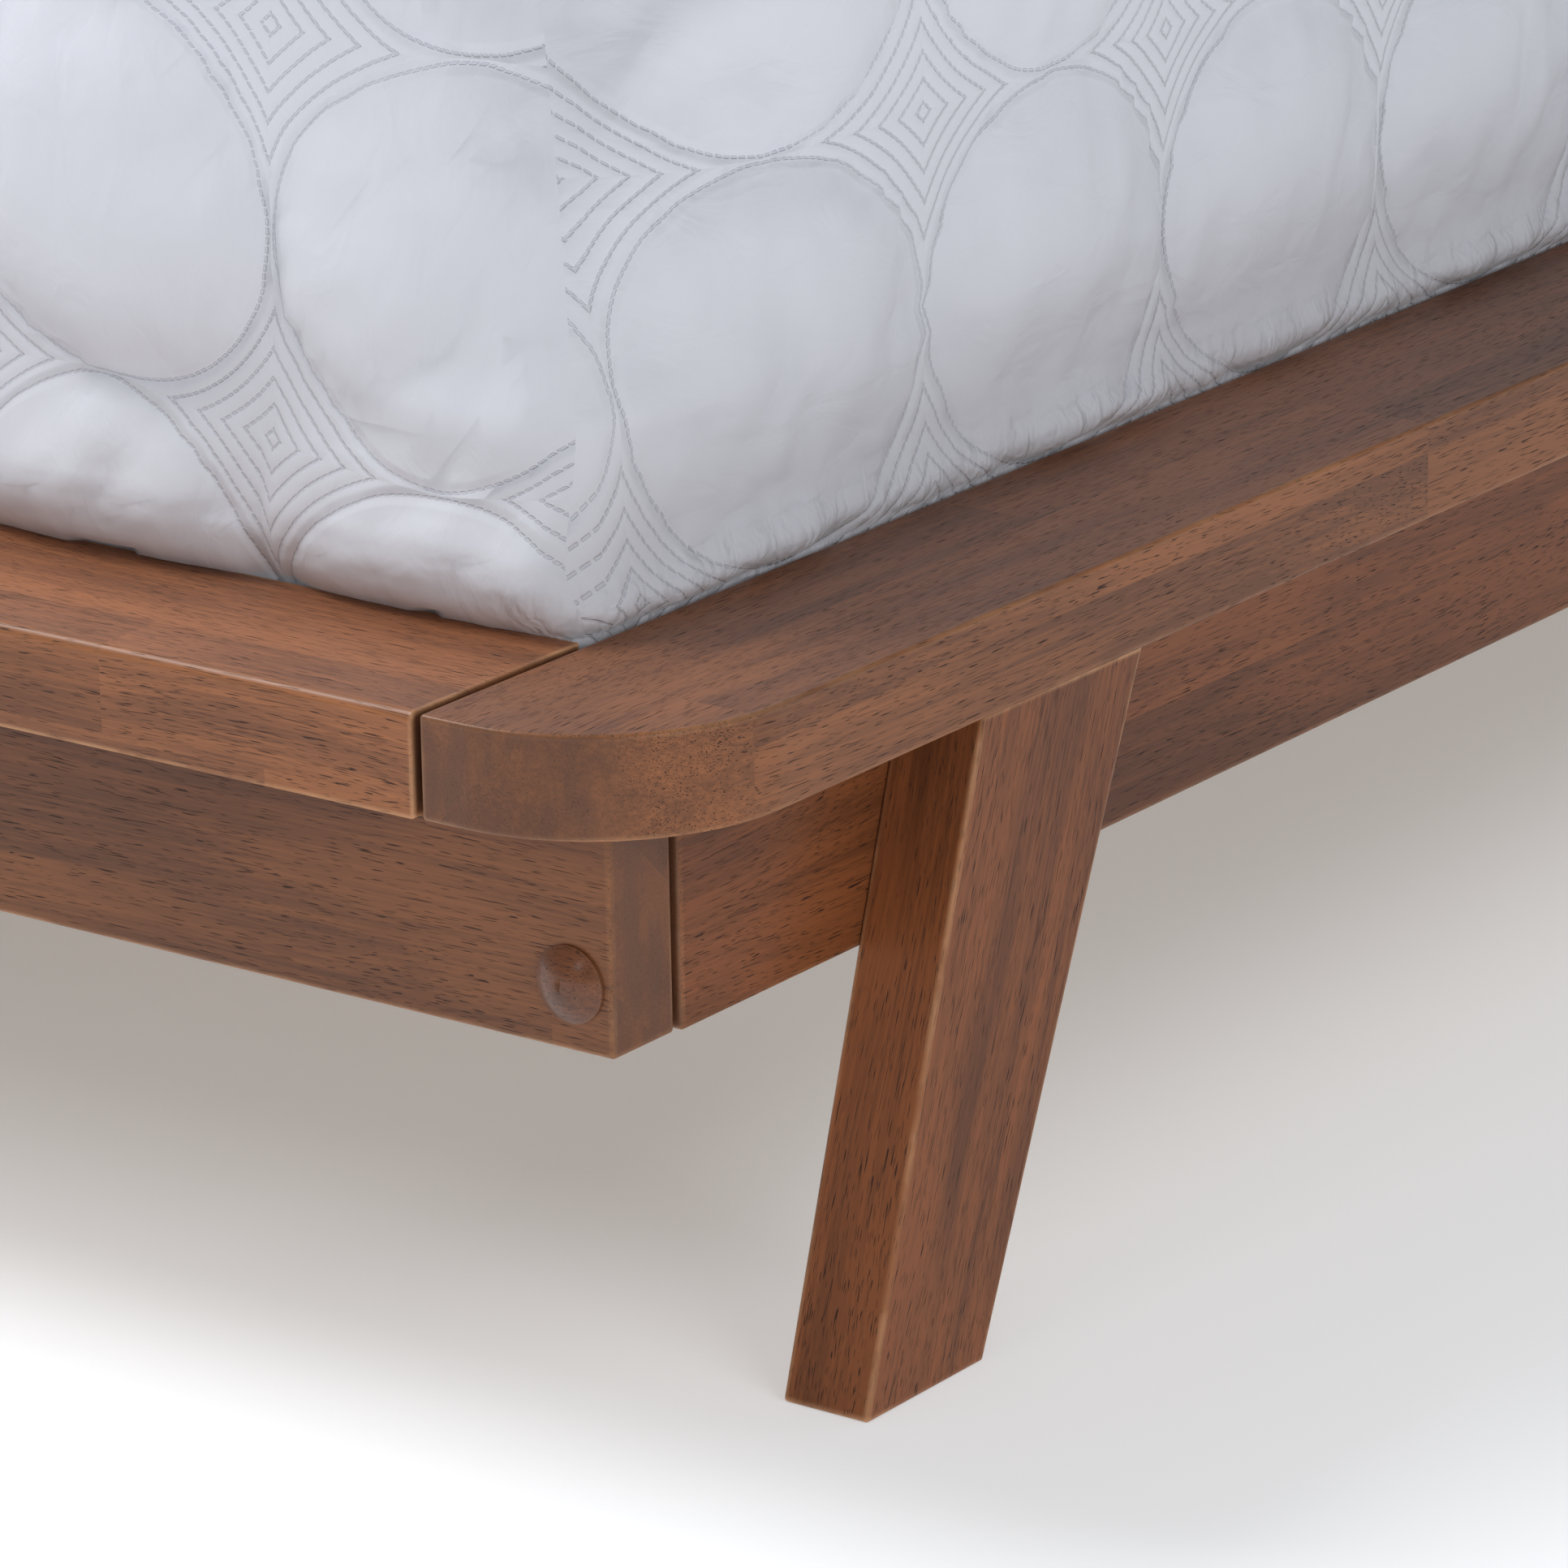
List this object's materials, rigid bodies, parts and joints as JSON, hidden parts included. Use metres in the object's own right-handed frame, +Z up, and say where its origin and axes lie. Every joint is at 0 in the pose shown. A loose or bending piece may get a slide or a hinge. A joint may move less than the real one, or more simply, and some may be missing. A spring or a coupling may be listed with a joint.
{
  "type": "platform bed",
  "caption": "Low wooden platform bed: wide ledge round a recessed mattress, slanted legs outside the rails, slatted base, plank headboard, quilted coverlet.",
  "frame": {"origin": "on the floor, under the middle of the whole bed's box, headboard included", "axes": "+Z up; +Y from the foot end to the headboard; +X to the right as seen from the foot end"},
  "size_m": [1.716, 2.211, 0.981],
  "materials": {
    "stained_wood": "satin lacquer over a walnut stain",
    "pale_wood": "planed and sanded, unstained",
    "steel": "zinc plated",
    "pad_plastic": "moulded, matt",
    "mattress_ticking": "knitted cotton ticking",
    "quilted_cotton": "stitched cotton sateen"
  },
  "bodies": {
    "bed": {"barrel_nuts": "steel", "beam_hanger_foot": "steel", "beam_hanger_head": "steel", "bolt_caps": "stained_wood", "centre_beam": "pale_wood", "centre_post_foot": "pale_wood", "centre_post_head": "pale_wood", "centre_post_middle": "pale_wood", "corner_bolts": "steel", "corner_dowels": "pale_wood", "coverlet": "quilted_cotton", "foot_ledge": "stained_wood", "foot_rail": "stained_wood", "hanger_screws": "steel", "head_ledge": "stained_wood", "head_rail": "stained_wood", "headboard_board_lower": "stained_wood", "headboard_board_middle": "stained_wood", "headboard_board_upper": "stained_wood", "headboard_bolts": "steel", "headboard_upright_left": "stained_wood", "headboard_upright_right": "stained_wood", "ledge_screws": "steel", "leg_bolts": "steel", "leg_foot_left": "stained_wood", "leg_foot_right": "stained_wood", "leg_head_left": "stained_wood", "leg_head_right": "stained_wood", "long_wood_screws": "steel", "mattress": "mattress_ticking", "post_bolts": "steel", "side_ledge_left": "stained_wood", "side_ledge_right": "stained_wood", "side_rail_left": "stained_wood", "side_rail_right": "stained_wood", "slat_01": "pale_wood", "slat_02": "pale_wood", "slat_03": "pale_wood", "slat_04": "pale_wood", "slat_05": "pale_wood", "slat_06": "pale_wood", "slat_07": "pale_wood", "slat_08": "pale_wood", "slat_09": "pale_wood", "slat_10": "pale_wood", "slat_11": "pale_wood", "slat_12": "pale_wood", "slat_13": "pale_wood", "slat_cleat_left": "pale_wood", "slat_cleat_right": "pale_wood", "slat_screws": "steel", "threaded_inserts": "steel"},
    "foot_leveller": {"leveller_stem_foot": "steel", "leveller_pad_foot": "pad_plastic"},
    "middle_leveller": {"leveller_stem_middle": "steel", "leveller_pad_middle": "pad_plastic"},
    "head_leveller": {"leveller_stem_head": "steel", "leveller_pad_head": "pad_plastic"}
  },
  "joints": [
    {"name": "foot_leveller_slide", "type": "slide", "parent": "bed", "child": "foot_leveller", "axis": [0, 0, 1], "range_m": [-0.012, 0.0135]},
    {"name": "middle_leveller_slide", "type": "slide", "parent": "bed", "child": "middle_leveller", "axis": [0, 0, 1], "range_m": [-0.012, 0.0135]},
    {"name": "head_leveller_slide", "type": "slide", "parent": "bed", "child": "head_leveller", "axis": [0, 0, 1], "range_m": [-0.012, 0.0135]}
  ]
}
